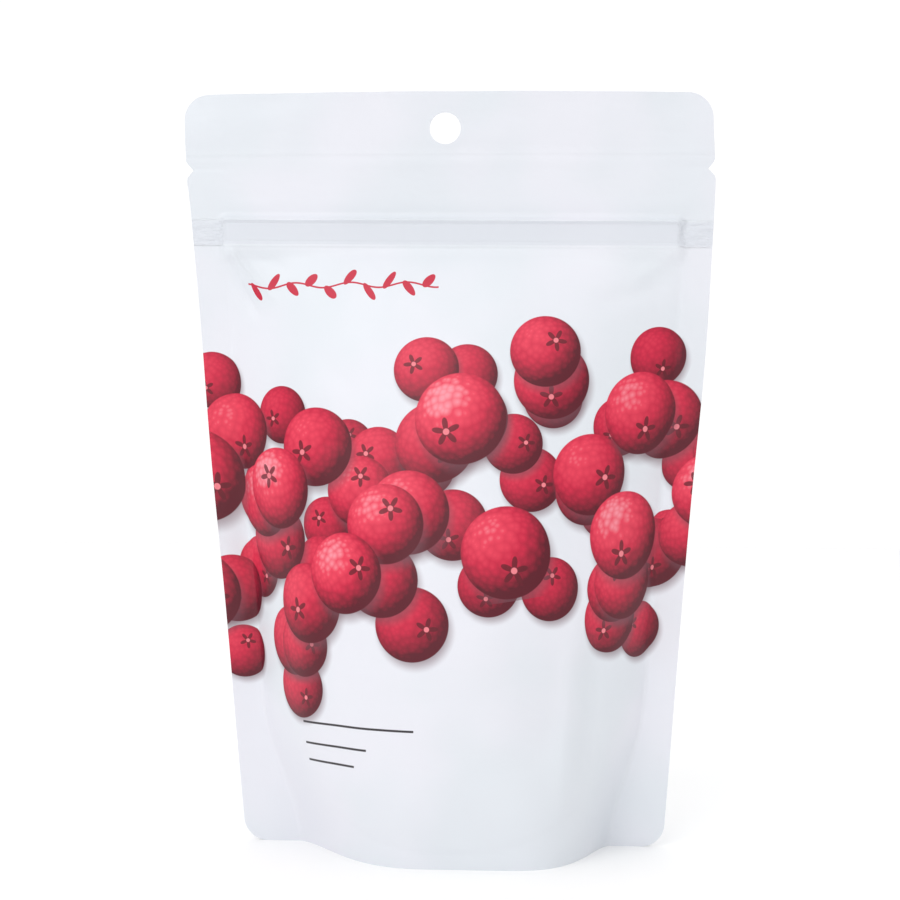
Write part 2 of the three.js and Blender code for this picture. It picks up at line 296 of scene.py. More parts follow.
def bellyDepth(z):
    top = zipBand["height"] - zipBand["half"] - belly["topGap"]
    rise = np.sin(np.pi / 2 * clamp((top - z) / top) ** belly["shoulder"])
    foot = 1 - belly["footTuck"] * (1 - smooth(z / belly["footTuckHeight"]))
    return belly["depth"] * rise * foot


def bulgeShare(x, z):
    # 1 at the middle of the width and 0 in the side seals.
    low = 1 - smooth(z / belly["earHeight"])
    seal = blendTo(belly["sealWidth"], belly["earWidth"], low)
    across = (x - centreLine(z)) / (halfWidth(z) - seal)
    side = np.where(across < 0, belly["bottomLeft"], belly["bottomRight"])
    fullness = blendTo(belly["fullness"], side, low)
    return clamp(1 - np.abs(across) ** fullness) ** blendTo(1, belly["earSoftness"], low)


def zipSwell(x, z):
    middle = zipBand["height"] - zipBand["fall"] * x
    low = middle - zipBand["half"]
    top = middle + zipBand["half"]
    along = 1 - smooth((np.abs(x) - zipBand["reach"]) / zipBand["endFade"])
    band = zipBand["swell"] + zipBand["hang"] * smooth((z - low) / (top - low))
    lip = zipBand["lip"] * smooth((z - top + 0.7) / 0.6) * (1 - smooth(z - top))
    near = (1 - zipBand["farShare"]) * smooth((z - top) / zipBand["fade"])
    far = zipBand["farShare"] * smooth((z - top) / zipBand["farFade"])
    below = smooth((z - low + zipBand["foot"]) / zipBand["footFade"])
    return along * below * (band * (1 - near - far) + lip)


def softMax(a, b, width):
    share = clamp(0.5 + 0.5 * (a - b) / width)
    return blendTo(b, a, share) + width * share * (1 - share)


# Unevenness of the seam plane: heights of waves and folds
seams = {
    "drift": 0.45,  # slow waves in the side seals
    "broad": 0.3,  # broad waves in the header
    "narrow": 0.14,
    "notchFold": 0.25,  # a fold between each notch and the middle
    "sealUp": 0.3,  # the ridge above the lower edge of the top seal
    "sealDown": 0.28,  # the valley below it
    "sealStep": 0.1,
    "crushed": 0.17,  # wrinkles of the flattened ends of the zip
    "crushLine": 0.25,
}

# A soft hollow along the inner edge of the left side seal, on both films
sealHollow = {
    "depth": 1.1,
    "half": 4.5,
    "inset": 7.5,  # from the side edge to the middle of the hollow
    "middle": 66,  # height where it is deepest
    "reach": 62,
}


def headerWaves(x, z, rise):
    total = seams["broad"] * rise * waves(x, z * 1.6, count=6, longest=60, seed=5)
    total += seams["narrow"] * rise * waves(x, z, count=9, longest=22, seed=6)
    total += seams["notchFold"] * bell(z, header["notchZ"] + 0.9, 0.6) * smooth((np.abs(x) - 54) / 10)
    ridge = seams["sealUp"] * bell(z, header["sealZ"] + 1.6, 2.0)
    valley = seams["sealDown"] * bell(z, header["sealZ"] - 1.6, 1.8)
    total += (ridge - valley) * (0.6 + 0.4 * np.sin(x / 17 + 1))
    return total - seams["sealStep"] * smooth((z - header["sealZ"]) / 0.9)


def crushedEnds(x, z):
    # The zip is pressed flat beside the side seals.
    pastEnd = smooth((np.abs(x) - 60.5) / 1.2)
    onBand = 1 - smooth((np.abs(z - zipBand["height"]) - 3.3) / 0.8)
    wrinkles = seams["crushed"] * pastEnd * onBand * waves(x, 2.4 * z, count=8, longest=9, seed=41)
    onLine = 1 - smooth((np.abs(z - zipBand["height"] + 0.6) - 1.6) / 0.8)
    return wrinkles + seams["crushLine"] * bell(np.abs(x), 60.6, 0.45) * onLine


def seamPlane(x, z):
    rise = clamp((z - header["start"]) / (pouch["height"] - header["start"]))
    bow = -header["bow"] * rise * (1 - (2 * x / pouch["width"]) ** 2)
    edge = smooth((np.abs(x - centreLine(z)) / halfWidth(z) - 0.78) / 0.2)
    clear = smooth((np.abs(z - zipBand["height"]) - 4.5) / 7)
    drift = seams["drift"] * edge * clear * waves(x * 0.3, z, count=5, longest=70, seed=3)
    hollowX = centreLine(z) - halfWidth(z) + sealHollow["inset"]
    hollow = bell(x, hollowX, sealHollow["half"]) * hump(z, sealHollow["middle"], sealHollow["reach"])
    return bow + drift + headerWaves(x, z, rise) + crushedEnds(x, z) + sealHollow["depth"] * hollow


film = {
    "thickness": 0.15,
    "gap": 0.06,  # between two welded films
    "foldRoom": 0.05,  # what the folded gusset needs in the side seals, beside its own thickness
    "bonded": 0.16,  # how far the film is drawn in where the gusset is welded to it
    "columns": 80,  # on each side of the middle
    "rowStep": 0.86,
    "lump": 0.7,  # how far a berry behind the film pushes it out
    "lumpRadius": 8.5,
    "lumpNear": 11,  # from the film to the middle of a berry that touches it
    "lumpFade": 7,
    "swell": 0.22,  # soft unevenness of the whole film
}

# Creases: from (x, z) to (x, z), half width and height, in millimetres. Negative heights are valleys.
creases = {
    "front": [
        (-59.0, 157.0, -46.5, 143.0, 1.0, 1.1),
        (-60.0, 154.5, -50.0, 139.0, 1.5, -1.0),
        (-56.0, 157.0, -42.0, 151.0, 1.6, -0.4),
        (58.0, 155.0, 46.0, 146.5, 2.2, 0.45),
        (56.0, 149.0, 38.0, 141.0, 2.8, -0.45),
        (39.5, 60.0, 36.0, 16.0, 3.0, -0.9),
        (33.0, 58.0, 30.0, 12.0, 3.0, 0.9),
        (-52.3, 78.0, -49.6, 24.0, 1.7, -0.55),
        (-37.5, 92.0, -35.0, 6.0, 4.2, 0.6),
        (-27.5, 60.0, -25.0, 4.0, 4.5, -0.6),
        (30.0, 3.0, 40.0, 13.0, 2.4, 0.5),
    ],
    "back": [
        (58.5, 156.0, 48.0, 145.0, 1.9, 0.65),
        (-58.0, 155.5, -44.0, 141.0, 2.0, 0.6),
        (-56.0, 150.0, -47.0, 134.0, 2.6, -0.6),
        (-41.0, 50.0, -38.0, 8.0, 3.2, -1.0),
        (40.5, 60.0, 38.0, 14.0, 3.0, -0.9),
        (-33.0, 46.0, -31.0, 18.0, 4.0, 0.5),
        (18.0, 118.0, 40.0, 108.0, 4.5, -0.5),
    ],
}

gusset = {
    "thickness": 0.13,
    "fold": 40,  # height of the fold at the side seals
    "skirt": 5,  # height of the weld above the floor at the middle
    "flatHalf": 22,
    "keel": 0.03,  # height of the opened fold above the floor
    "reach": 0.994,  # share of the half width
    "columns": 70,
    "skirtSteps": 12,
    "floorSteps": 56,
    "wrinkle": 0.55,
    "foldRidge": 0.3,  # what is left of the fold line
}


def creaseRelief(x, z, side):
    total = np.zeros(x.shape)
    for x0, z0, x1, z1, half, height in creases[side]:
        length = math.hypot(x1 - x0, z1 - z0)
        along = ((x - x0) * (x1 - x0) + (z - z0) * (z1 - z0)) / length ** 2
        across = ((x - x0) * (z1 - z0) - (z - z0) * (x1 - x0)) / length
        fade = smooth(along / 0.35 + 0.5) * smooth((1 - along) / 0.45 + 0.35)
        total += height * fade * bell(across, 0, half)
    return total


def berryLumps(x, z, sign):
    # Each berry close behind the film pushes it out a little.
    total = np.zeros(x.shape)
    for name in berryNames:
        low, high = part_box(name)
        centre = (low + high) / 2 / mm
        wall = bellyDepth(centre.z) * bulgeShare(np.array(centre.x), centre.z)
        closeness = clamp(1 - (wall - sign * centre.y - film["lumpNear"]) / film["lumpFade"])
        far = ((x - centre.x) ** 2 + (z - centre.z) ** 2) / film["lumpRadius"] ** 2
        total = np.maximum(total, film["lump"] * closeness * np.exp(-far))
    return total


def weldHeight(share):
    # Where the gusset's weld runs: low at the middle, rising to the fold at the side seals.
    out = clamp(np.abs(share) / (1 - belly["sealWidth"] / halfWidth(0)))
    return blendTo(gusset["skirt"], gusset["fold"] - 1, 1 - np.sqrt(1 - out ** 2))


def filmOffset(x, z, side):
    # Distance of the film's outer face from the seam plane.
    sign = -1 if side == "front" else 1
    share = bulgeShare(x, z)
    loose = smooth(share / 0.25)
    bulge = bellyDepth(z) * share
    overZip = zipSwell(x, z)
    base = softMax(bulge, overZip, 0.01 + 1.2 * smooth((bulge + overZip) / 1.5))
    swell = film["swell"] * waves(x, z, count=9, longest=55, seed=21 if side == "front" else 22)
    weld = weldHeight((x - centreLine(z)) / halfWidth(0))
    bonded = film["bonded"] * smooth((weld - z) / 1.2)
    relief = loose * (swell + berryLumps(x, z, sign) - bonded)
    relief = relief + smooth(share / 0.12) * creaseRelief(x, z, side)
    fourPly = (1 - loose) * smooth((gusset["fold"] + 1.2 - z) / 1.2)
    sealed = film["thickness"] + film["gap"] / 2 + (film["thickness"] + film["foldRoom"]) * fourPly
    return sealed + np.maximum(base + relief, 0)


def filmFace(side, share, z):
    sign = -1 if side == "front" else 1
    x = columnX(share, z)
    return np.stack([x + sway(x, z), seamPlane(x, z) + sign * filmOffset(x, z, side), z], -1)


def gridSheet(name, outer, inner, uv):
    # A closed sheet from two grids of points (rows, columns, 3) in millimetres.
    # Its outer face looks along column x row.
    rows, columns = outer.shape[:2]
    index = np.arange(rows * columns).reshape(rows, columns)
    other = index + rows * columns

    def quads(a, b, c, d):
        return np.stack([a.ravel(), b.ravel(), c.ravel(), d.ravel()], 1)

    faces = np.concatenate([
        quads(index[:-1, :-1], index[:-1, 1:], index[1:, 1:], index[1:, :-1]),
        quads(other[:-1, :-1], other[1:, :-1], other[1:, 1:], other[:-1, 1:]),
        quads(index[0, :-1], other[0, :-1], other[0, 1:], index[0, 1:]),
        quads(index[-1, :-1], index[-1, 1:], other[-1, 1:], other[-1, :-1]),
        quads(index[:-1, 0], index[1:, 0], other[1:, 0], other[:-1, 0]),
        quads(index[:-1, -1], other[:-1, -1], other[1:, -1], index[1:, -1]),
    ])
    points = np.concatenate([outer.reshape(-1, 3), inner.reshape(-1, 3)]) * mm
    mesh = bpy.data.meshes.new(name)
    mesh.from_pydata(points.tolist(), [], faces.tolist())
    layer = mesh.uv_layers.new(name="filmMap")
    flat = np.concatenate([uv.reshape(-1, 2), uv.reshape(-1, 2)])
    corners = np.zeros(len(mesh.loops), np.int32)
    mesh.loops.foreach_get("vertex_index", corners)
    layer.uv.foreach_set("vector", flat[corners].astype(np.float32).ravel())
    mesh.shade_smooth()
    mesh.set_sharp_from_angle(angle=math.radians(55))
    piece = bpy.data.objects.new(name, mesh)
    bpy.context.scene.collection.objects.link(piece)
    return piece


def filmRows():
    # Close together round the corners and over the zip, with one row through the notches.
    turn = np.linspace(0, math.pi / 2, 12)
    bottom = pouch["bottomRadius"] * (1 - np.sin(turn))[::-1]
    top = pouch["height"] - pouch["topRadius"] * (1 - np.sin(turn))
    notch = header["notchZ"]
    low = np.arange(bottom[-1] + film["rowStep"], 156, film["rowStep"])
    overZip = np.arange(156.2, 168, film["rowStep"] * 0.45)
    underNotch = np.arange(168.2, notch - 0.4, film["rowStep"])
    overNotch = np.arange(notch + film["rowStep"], top[0] - 0.4, film["rowStep"])
    return np.concatenate([bottom, low, overZip, underNotch, [notch], overNotch, top])


def filmColumns():
    half = np.linspace(0, 1, film["columns"] + 1)
    half = half + 0.05 * np.sin(math.pi * half) * half  # a little closer together beside the seals
    return np.concatenate([-half[:0:-1], half])


def inwardOf(grid, sign):
    # Unit vectors from the outer face into the film, square to the grid of points.
    normal = np.cross(np.gradient(grid, axis=1), np.gradient(grid, axis=0))
    normal /= np.linalg.norm(normal, axis=2, keepdims=True)
    return normal * np.sign(-sign * normal[:, :, 1:2])


def panelFilm(side):
    sign = -1 if side == "front" else 1
    z, share = np.meshgrid(filmRows(), filmColumns(), indexing="ij")
    outer = filmFace(side, share, z)
    inner = outer + inwardOf(outer, sign) * film["thickness"]
    # the edges stay square to the seam plane, and level with the floor
    for edge in (np.s_[:, 0], np.s_[:, -1], np.s_[0, :], np.s_[-1, :]):
        inner[edge] = outer[edge] - np.array([0, sign * film["thickness"], 0])
    inner[:, :, 2] = np.maximum(inner[:, :, 2], 0)
    # the print is laid out in millimetres along the film, from its middle
    steps = np.linalg.norm(np.diff(outer, axis=1), axis=2)
    run = np.concatenate([np.zeros((len(steps), 1)), np.cumsum(steps, 1)], 1)
    run -= run[:, film["columns"]][:, None]
    uv = np.stack([run, z], 2)
    if sign < 0:
        return gridSheet("printed_front_film", outer, inner, uv)
    return gridSheet("printed_back_film", inner, outer, uv)


def behindFilm(side, share, z, inset):
    # A point some way in from the film's outer face, square to it.
    sign = -1 if side == "front" else 1
    right = filmFace(side, share + 0.004, z) - filmFace(side, share - 0.004, z)
    up = filmFace(side, share, z + 0.3) - filmFace(side, share, z - 0.3)
    normal = np.cross(right, up)
    normal *= np.sign(-sign * normal[..., 1:2]) / np.linalg.norm(normal, axis=-1, keepdims=True)
    point = filmFace(side, share, z) + normal * inset
    point[..., 2] = np.maximum(point[..., 2], 0.02)
    return point


def keelHeight(share):
    rising = np.abs(share) * halfWidth(0) - gusset["flatHalf"]
    return blendTo(gusset["keel"], gusset["fold"], smooth(rising / (halfWidth(0) - gusset["flatHalf"])))


def gussetFilm():
    # Up the inside of the front film, across the bottom and down the inside of the back film.
    share = np.linspace(-gusset["reach"], gusset["reach"], 2 * gusset["columns"] + 1)[:, None]
    across = np.linspace(-1, 1, gusset["floorSteps"] + 1)[None, 1:-1]
    along = np.linspace(0, 1, gusset["skirtSteps"])[None, :]
    way = ((1 + across) / 2)[..., None]
    weld = weldHeight(share)
    height = blendTo(weld, keelHeight(share), smooth((1 - np.abs(across)) / 0.5))
    nearSide = film["thickness"] + film["gap"]
    sheets = []
    for inset, lift in ((nearSide, gusset["thickness"]), (nearSide + gusset["thickness"], 0)):
        front = behindFilm("front", share + 0 * along, weld * along, inset)
        back = behindFilm("back", share + 0 * along, weld * along, inset)
        floor = front[:, -1:] * (1 - way) + back[:, -1:] * way
        x, y = floor[..., 0], floor[..., 1]
        opened = smooth(-front[:, -1:, 1] / 6)
        raised = smooth(height / 4) * (1 - across ** 2) * opened
        soft = gusset["wrinkle"] * raised * waves(x, 1.7 * y, count=8, longest=34, seed=31)
        ridge = gusset["foldRidge"] * bell(y, 0, 0.7) * opened
        floor[..., 2] = height + soft + ridge + lift
        sheets.append(np.concatenate([front, floor, back[:, ::-1]], 1))
    top, under = sheets
    return gridSheet("thin_bottom_gusset", under, top, top[..., :2])


def punchHole(piece):
    bpy.ops.mesh.primitive_cylinder_add(
        vertices=72,
        radius=header["holeRadius"] * mm,
        depth=0.03,
        location=(header["holeX"] * mm, 0, header["holeZ"] * mm),
        rotation=(math.pi / 2, 0, 0),
    )
    cutter = bpy.context.object
    punch = piece.modifiers.new("punch", "BOOLEAN")
    punch.object = cutter
    punch.operation = "DIFFERENCE"
    punch.solver = "EXACT"
    evaluated = piece.evaluated_get(bpy.context.evaluated_depsgraph_get())
    mesh = bpy.data.meshes.new_from_object(evaluated)
    piece.modifiers.clear()
    piece.data = mesh
    bpy.data.objects.remove(cutter)


frontFilm = panelFilm("front")
backFilm = panelFilm("back")
for piece in (frontFilm, backFilm):
    punchHole(piece)
bottomFilm = gussetFilm()
print("films made,", len(frontFilm.data.polygons), "faces each")

# Film and print
filmLook = {
    "white": (0.795, 0.803, 0.86),
    "cool": (0.745, 0.779, 0.825),
    # painted shade: the greyer tone of the film over the zip band
    "welded": (0.70, 0.727, 0.785),
    "rough": 0.34,
    "cloudScale": 22,
    "grainScale": 2600,
    "cockleScale": 75,
    "wrinkleScale": 900,  # at the crushed ends of the zip
}

# Heights of the film's fine relief, in millimetres
filmRelief = {
    "ridge": 0.16,
    "foot": 0.1,
    "crushed": 0.5,
    "topSeal": 0.12,
    "cockle": 0.22,
    "headerCockle": 0.3,
    "grain": 0.006,
}

# Lines along the zip, from one height to another
zipMarks = {
    "ridge": (164.15, 164.75),
    "underRidge": (163.2, 163.7),
    "foot": (157.2, 157.8),
    "overFoot": (158.4, 158.9),
    "crushed": (157.6, 164.6),
    # heights of the painted shade over the zip band
    "welded": (157.9, 164.2),
}

zipLook = {
    "dull": (0.74, 0.77, 0.80),
    "milky": (0.82, 0.84, 0.86),
    "rough": 0.28,
}

printLook = {
    "shadow": (0.16, 0.06, 0.08),
    "crimson": (0.56, 0.012, 0.045),
    "crown": (0.11, 0.003, 0.012),
    "pip": (0.86, 0.22, 0.26),
    "ink": (0.035, 0.03, 0.035),
    "grey": (0.33, 0.34, 0.37),
    "berry": [
        (0.0, (0.10, 0.002, 0.012)),
        (0.3, (0.32, 0.006, 0.03)),
        (0.55, (0.60, 0.014, 0.055)),
        (0.8, (0.82, 0.05, 0.10)),
        (1.0, (0.93, 0.30, 0.36)),
    ],
    # the band of berries is a wave across the film
    "bandHeight": 93.0,
    "bandWave": 12.0,
    "leafPitch": 5.2,
    "leafHalf": (2.5, 1.05),  # half length and half width
    "stalkHalf": 0.24,
    "stalkWave": 0.7,
}

# Layers of drawn berries, the lowest first
berryLayers = [
    {"pitch": 23, "radius": 8.4, "turn": 0.3, "shift": (311, 207), "half": 40, "share": 0.7, "gain": 0.7},
    {"pitch": 26, "radius": 9.6, "turn": 0.55, "shift": (97, 33), "half": 37, "share": 0.9, "gain": 0.76},
    {"pitch": 28, "radius": 10.6, "turn": 1.1, "shift": (157, 433), "half": 34, "share": 0.9, "gain": 0.83},
    {"pitch": 30, "radius": 11.3, "turn": 0.75, "shift": (223, 339), "half": 30, "share": 0.85, "gain": 0.9},
    {"pitch": 33, "radius": 12.2, "turn": 0.1, "shift": (523, 119), "half": 28, "share": 0.75, "gain": 0.97},
    {"pitch": 36, "radius": 12.8, "turn": 1.35, "shift": (401, 87), "half": 24, "share": 0.6, "gain": 1.02},
]

# Where the print lies on the film, in millimetres from its middle and from the floor
frontLayout = {
    "sprig": (-55.0, -3.0, 147.0),  # left, right and height
    "rulesLeft": -42.0,
    "rulesRight": -8.0,
    "rules": ((34.0, 1.0), (28.5, 0.62), (24.0, 0.5)),  # height, and share of the width
    "ruleHalf": 0.28,
}

backLayout = {
    "sprig": (-26.0, 26.0, 143.0),
    "tableHalf": 38.0,
    "tableLow": 56.0,
    "tableHigh": 128.0,
    "rows": 10,
    "rowHeight": 8.0,
    "divider": 12.0,
    "ruleHalf": 0.14,
}


def filmSurface(graph, colour):
    # Matte film: fine grain, soft cockles and the pressed lines of its seams.
    place = graph.put("ShaderNodeTexCoord", out=3)
    cloud = graph.noise(place, filmLook["cloudScale"])
    grain = graph.noise(place, filmLook["grainScale"], 1.0)
    cockle = graph.noise(graph.vector("MULTIPLY", place, (0.6, 1.0, 1.0)), filmLook["cockleScale"], 3.0)
    wrinkle = graph.noise(graph.vector("MULTIPLY", place, (0.4, 1.0, 1.4)), filmLook["wrinkleScale"], 3.0)
    x, _, z = (1000.0 * part for part in graph.parts(place))
    zipZ = z + zipBand["fall"] * x
    inHeader = z.step(165.0, 170.0)
    onStrip = (60.0 - abs(x)).step(-0.4, 0.4)
    ridge = zipZ.within(*zipMarks["ridge"], 0.3) - 0.8 * zipZ.within(*zipMarks["underRidge"], 0.3)
    foot = zipZ.within(*zipMarks["foot"], 0.35) - 0.6 * zipZ.within(*zipMarks["overFoot"], 0.3)
    crushed = (1.0 - onStrip) * zipZ.within(*zipMarks["crushed"], 0.3) * wrinkle
    height = onStrip * (filmRelief["ridge"] * ridge + filmRelief["foot"] * foot)
    height = height + filmRelief["crushed"] * crushed + filmRelief["topSeal"] * z.step(181.2, 182.2)
    height = height + cockle * (filmRelief["cockle"] + filmRelief["headerCockle"] * inHeader)
    height = height + filmRelief["grain"] * grain
    roughness = filmLook["rough"] + 0.1 * cloud + 0.04 * grain
    graph.finish(colour, roughness, height, 1.0, 0.001, **{"Specular IOR Level": 0.45})


def bareTone(graph):
    # The film is painted greyer where the zip is welded behind it: painted shade for the back-light that the
    # zip strip blocks.
    place = graph.put("ShaderNodeTexCoord", out=3)
    cloud = graph.noise(place, filmLook["cloudScale"])
    colour = graph.mixColour(cloud.step(0.38, 0.62), filmLook["white"], filmLook["cool"])
    x, _, z = (1000.0 * part for part in graph.parts(place))
    # painted shade: darker where the zip lies behind the film
    band = (z + zipBand["fall"] * x).within(*zipMarks["welded"], 0.25)
    return graph.mixColour(band * 0.75, colour, filmLook["welded"])


def drawnBerry(graph, x, y, squared, chance, tone, turn, gain):
    # A round berry with a pitted skin and a crown of five points, turned another way on each.
    bulge = (1.0 - squared).most(0.0) ** 0.5
    light = 0.72 * bulge - 0.36 * x + 0.44 * y + 0.16 * (tone - 0.5)
    wrap = (1.0 + 0.5 * squared) * 5.0
    skinPlace = graph.put("ShaderNodeCombineXYZ", {"X": x * wrap + chance * 90.0, "Y": y * wrap})
    skin = graph.put("ShaderNodeTexVoronoi", {"Vector": skinPlace, "Scale": 1.0}, voronoi_dimensions="2D")
    light = light + 0.2 * (0.42 - skin)
    flesh = graph.put("ShaderNodeValToRGB", {"Fac": light * gain}, stops=printLook["berry"])
    way = turn * 6.2832
    crownX = x - 0.42 * way.maths("COSINE")
    crownY = y - 0.42 * way.maths("SINE")
    far = (crownX * crownX + crownY * crownY) ** 0.5
    star = 0.2 + 0.11 * (crownY.maths("ARCTAN2", crownX) * 5.0 + way).maths("COSINE")
    crown = (star - far).step(-0.012, 0.012)
    flesh = graph.mixColour(crown * 0.85, flesh, printLook["crown"])
    return graph.mixColour((0.07 - far).step(-0.01, 0.01), flesh, printLook["pip"])


def berryLayer(graph, colour, u, v, layer):
    # One layer of drawn berries, one for each kept cell of a Voronoi pattern, over the colour below it.
    cosine, sine = math.cos(layer["turn"]), math.sin(layer["turn"])
    moved = graph.put("ShaderNodeCombineXYZ", {
        "X": u * cosine - v * sine + layer["shift"][0],
        "Y": u * sine + v * cosine + layer["shift"][1],
    })
    inputs = {"Vector": moved, "Scale": 1 / layer["pitch"], "Randomness": 0.3}
    cells = graph.put("ShaderNodeTexVoronoi", inputs, out=1, voronoi_dimensions="2D")
    centre = Wire(graph, cells.socket.node.outputs[2])
    offX, offY, _ = graph.parts(graph.vector("SUBTRACT", moved, centre))
    chance, tone, turn = graph.parts(cells)
    offU = offX * cosine + offY * sine
    offV = offY * cosine - offX * sine
    wave = ((u - offU) * 0.05 + 0.6).maths("SINE")
    line = printLook["bandHeight"] + printLook["bandWave"] * wave
    inBand = (layer["half"] - abs(v - offV - line)).maths("GREATER_THAN", 0.0)
    kept = inBand * (layer["share"] - chance).maths("GREATER_THAN", 0.0)
    radius = layer["radius"] * (0.8 + 0.2 * turn)
    x, y = offU / radius, offV / radius
    squared = x * x + y * y
    shadeX, shadeY = x - 0.08, y + 0.16
    shade = 1.0 - (shadeX * shadeX + shadeY * shadeY).step(0.6, 1.3)
    colour = graph.mixColour(kept * shade * 0.62, colour, printLook["shadow"])
    flesh = drawnBerry(graph, x, y, squared, chance, tone, turn, layer["gain"])
    cover = (1.0 - squared).step(0.0, 0.05) * kept
    return graph.mixColour(cover, colour, flesh)


def sprig(graph, colour, u, v, left, right, centre):
    # A thin stalk with leaves on alternating sides.
    pitch = printLook["leafPitch"]
    halfLength, halfBreadth = printLook["leafHalf"]
    stalk = centre + printLook["stalkWave"] * (u * 0.42).maths("SINE")
    inside = u.within(left, right)
    cell = (u - left) / pitch
    index = cell.maths("FLOOR")
    side = (index % 2.0) * 2.0 - 1.0
    x = (cell - index - 0.5) * pitch
    y = (v - stalk) * side - 1.5
    along = 0.62 * x + 0.78 * y
    across = 0.78 * x - 0.62 * y
    leaf = (1.0 - (along / halfLength) ** 2.0 - (across / halfBreadth) ** 2.0).step(0.0, 0.12)
    stem = (printLook["stalkHalf"] - abs(v - stalk)).step(-0.05, 0.05)
    return graph.mixColour(inside * leaf.most(stem), colour, printLook["crimson"])


def ruled(graph, colour, u, v, left, right, rules, half, tone):
    # Level lines at the given heights, each with its share of the width.
    for low, share in rules:
        line = v.within(low - half, low + half) * u.within(left, left + share * (right - left))
        colour = graph.mixColour(line, colour, tone)
    return colour


def frontPrint():
    material, graph = newMaterial("front_print")
    u, v, _ = graph.parts(graph.put("ShaderNodeUVMap", uv_map="filmMap"))
    colour = bareTone(graph)
    for layer in berryLayers:
        colour = berryLayer(graph, colour, u, v, layer)
    layout = frontLayout
    colour = sprig(graph, colour, u, v, *layout["sprig"])
    edges = layout["rulesLeft"], layout["rulesRight"]
    colour = ruled(graph, colour, u, v, *edges, layout["rules"], layout["ruleHalf"], printLook["ink"])
    filmSurface(graph, colour)
    return material


def backPrint():
    # A sprig over a blank ruled table.
    material, graph = newMaterial("back_print")
    u, v, _ = graph.parts(graph.put("ShaderNodeUVMap", uv_map="filmMap"))
    layout = backLayout
    low, high, across, thin = (layout[key] for key in ("tableLow", "tableHigh", "tableHalf", "ruleHalf"))
    colour = sprig(graph, bareTone(graph), u, v, *layout["sprig"])
    rules = [(low + layout["rowHeight"] * row, 1.0) for row in range(layout["rows"])]
    colour = ruled(graph, colour, u, v, -across, across, rules, thin, printLook["grey"])
    sides = (abs(u) - across).within(-thin, thin)
    divider = (u - layout["divider"]).within(-thin, thin)
    colour = graph.mixColour(v.within(low, high) * sides.most(divider), colour, printLook["grey"])
    filmSurface(graph, colour)
    return material


def bareFilm():
    material, graph = newMaterial("bare_film")
    filmSurface(graph, bareTone(graph))
    return material


def zipPlastic():
    material, graph = newMaterial("milky_zip_plastic")
    place = graph.put("ShaderNodeTexCoord", out=3)
    streak = graph.noise(graph.vector("MULTIPLY", place, (0.05, 1.0, 1.0)), 900)
    colour = graph.mixColour(streak, zipLook["dull"], zipLook["milky"])
    graph.finish(colour, zipLook["rough"] + 0.1 * streak, streak, 0.1, 0.0001)
    return material


def giveMaterial(thing, material):
    thing.data.materials.clear()
    thing.data.materials.append(material)


giveMaterial(frontFilm, frontPrint())
giveMaterial(backFilm, backPrint())
giveMaterial(bottomFilm, bareFilm())
zipMaterial = zipPlastic()
for name in ("zip_rib_strip", "zip_groove_strip"):
    giveMaterial(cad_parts[name], zipMaterial)

for piece, node in ((frontFilm, "front_film"), (backFilm, "back_film"), (bottomFilm, "bottom_gusset")):
    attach(piece, "root")
    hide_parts(node)
print("films printed")

# Berries, in millimetres
berry = {
    "drupelets": 58,
    "size": 2.15,  # radius of a drupelet
    "girth": 6.5,
    "bottom": -5.4,
    "length": 12.4,
    "dent": 0.7,
    "centre": 1.03,  # from the middle of the plain solid's corners to the berry's own, along its axis
    "goldenAngle": 2.39996,
}


def berryTree():
    # Drupelets along a spiral over a dented cone, hollow inside and open at the stalk end.
    tree = bpy.data.node_groups.new("dried_berry", "GeometryNodeTree")
    sockets = tree.interface
    sockets.new_socket("Geometry", in_out="OUTPUT", socket_type="NodeSocketGeometry")
    for name, kind in (
        ("Drupelets", "Int"), ("Drupelet Size", "Float"), ("Girth", "Float"), ("Bottom", "Float"),
        ("Length", "Float"), ("Dent", "Float"), ("Turn", "Float"), ("Seed", "Int"), ("Material", "Material"),
    ):
        sockets.new_socket(name, in_out="INPUT", socket_type="NodeSocket" + kind)
    made = Graph(tree)
    given = tree.nodes.new("NodeGroupInput")
    value = {socket.name: Wire(made, socket) for socket in given.outputs if socket.name}
    place = made.put("GeometryNodeInputIndex")
    share = (place + 0.5) / value["Drupelets"]
    angle = place * berry["goldenAngle"] + value["Turn"]
    taper = ((share - 0.12) / 0.88).most(0.0)
    girth = value["Girth"] * ((1.0 - taper ** 2.3).most(0.0) ** 0.5) * (0.82 + 0.18 * share.step(0.0, 0.2))
    spot = made.put("ShaderNodeCombineXYZ", {
        "X": girth * angle.maths("COSINE"),
        "Y": girth * angle.maths("SINE"),
        "Z": value["Bottom"] + value["Length"] * share,
    })
    points = made.put("GeometryNodePoints", {"Count": value["Drupelets"], "Position": spot})
    inputs = {"Vector": spot, "W": value["Turn"], "Scale": 0.16}
    cloud = made.put("ShaderNodeTexNoise", inputs, out=1, noise_dimensions="4D")
    dent = made.vector("SUBTRACT", cloud, (0.5, 0.5, 0.5))
    dent = made.put("ShaderNodeVectorMath", {0: dent, "Scale": value["Dent"] * 4.0}, operation="SCALE")
    points = made.put("GeometryNodeSetPosition", {"Geometry": points, "Offset": dent})
    ball = made.put("GeometryNodeMeshIcoSphere", {"Radius": value["Drupelet Size"], "Subdivisions": 2})
    inputs = {2: 0.86, 3: 1.12, "Seed": value["Seed"]}
    size = made.put("FunctionNodeRandomValue", inputs, out=1, data_type="FLOAT")
    inputs = {"Points": points, "Instance": ball, "Scale": size}
    grown = made.put("GeometryNodeInstanceOnPoints", inputs)
    plain = made.put("GeometryNodeRealizeInstances", {"Geometry": grown})
    smoothed = made.put("GeometryNodeSetShadeSmooth", {"Geometry": plain})
    inputs = {"Geometry": smoothed, "Material": value["Material"]}
    dressed = made.put("GeometryNodeSetMaterial", inputs)
    made.put("NodeGroupOutput", {"Geometry": dressed})
    return tree


